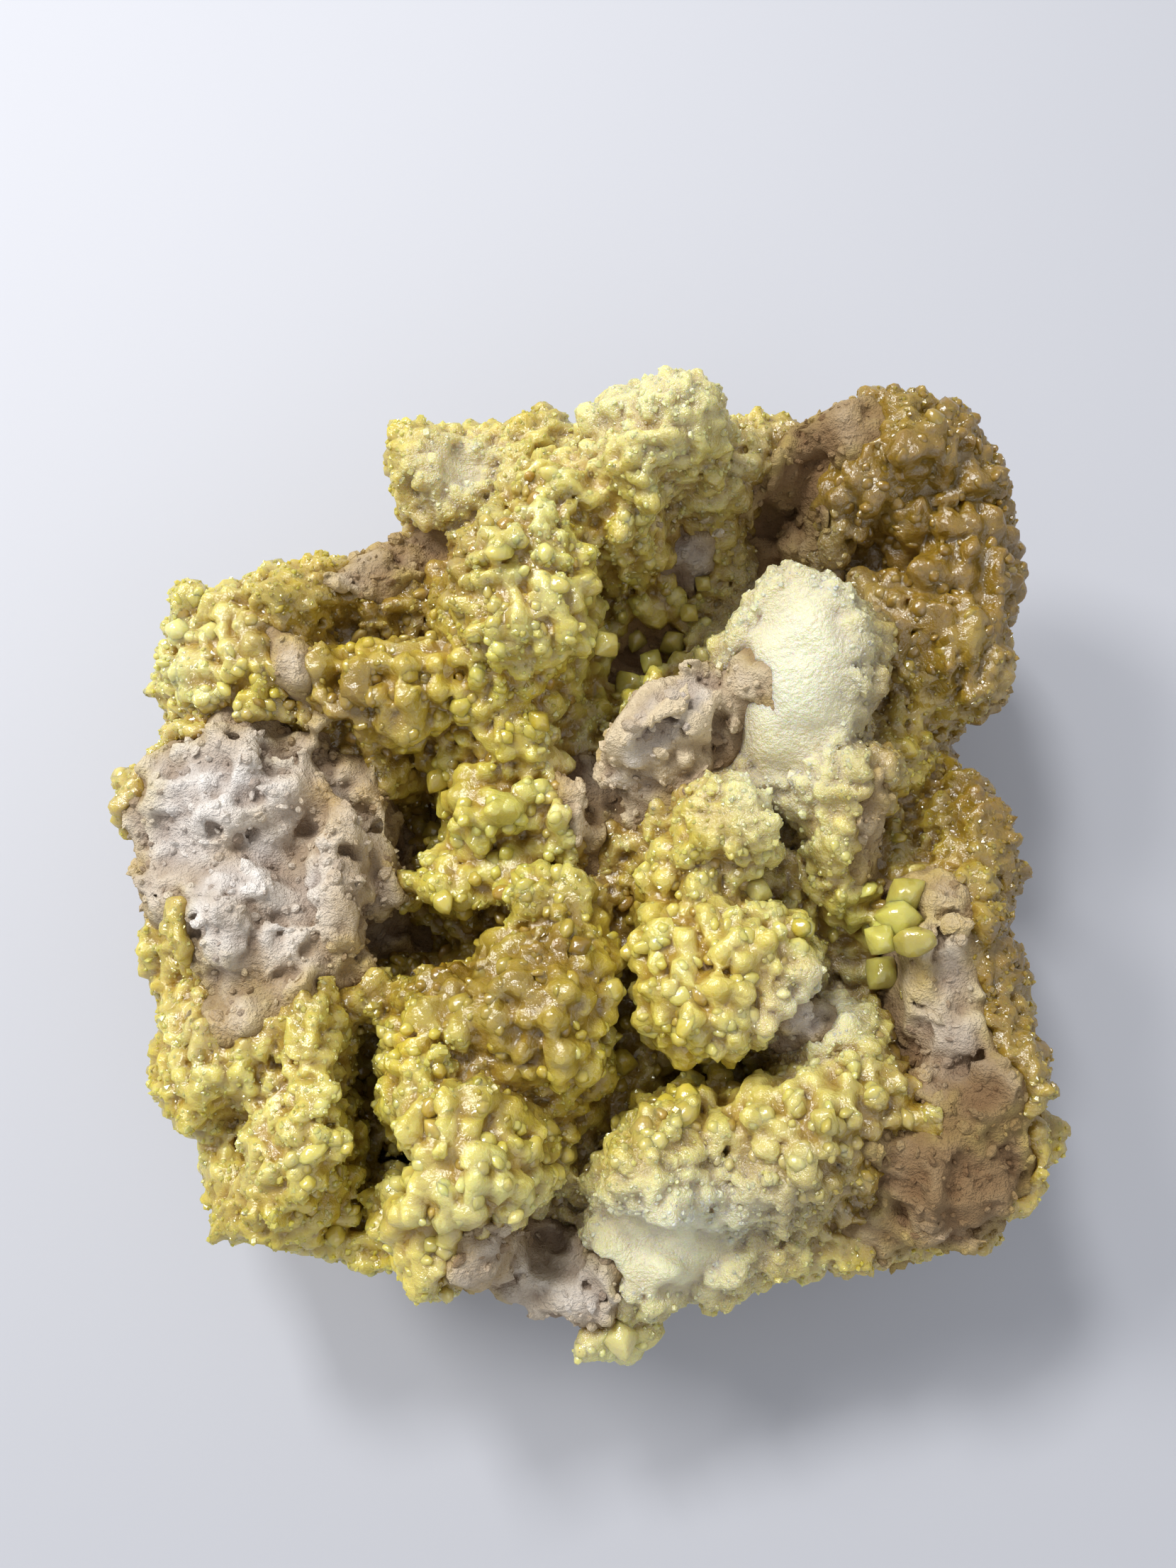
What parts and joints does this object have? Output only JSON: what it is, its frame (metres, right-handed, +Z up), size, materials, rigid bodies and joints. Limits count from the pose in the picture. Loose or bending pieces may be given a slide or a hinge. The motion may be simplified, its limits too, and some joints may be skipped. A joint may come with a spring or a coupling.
{
  "type": "native sulfur specimen",
  "caption": "Hand specimen of native sulfur: a rough crust of rounded yellow crystals grown over porous volcanic rock, broken flat underneath to rest on a shelf.",
  "frame": {"origin": "centre of the bounding box, on the flat face that the specimen rests on", "axes": "+Z up out of the crystal face, +Y towards the tallest crest, +X to the right when the crest is at the back"},
  "size_m": [0.093, 0.098, 0.05],
  "materials": {
    "sulfur": "glassy to resinous yellow crystals, slightly see-through",
    "host_rock": "dull, porous, tan to grey-white altered volcanic rock"
  },
  "bodies": {
    "root": {"sulfur_specimen": "sulfur"}
  },
  "joints": []
}
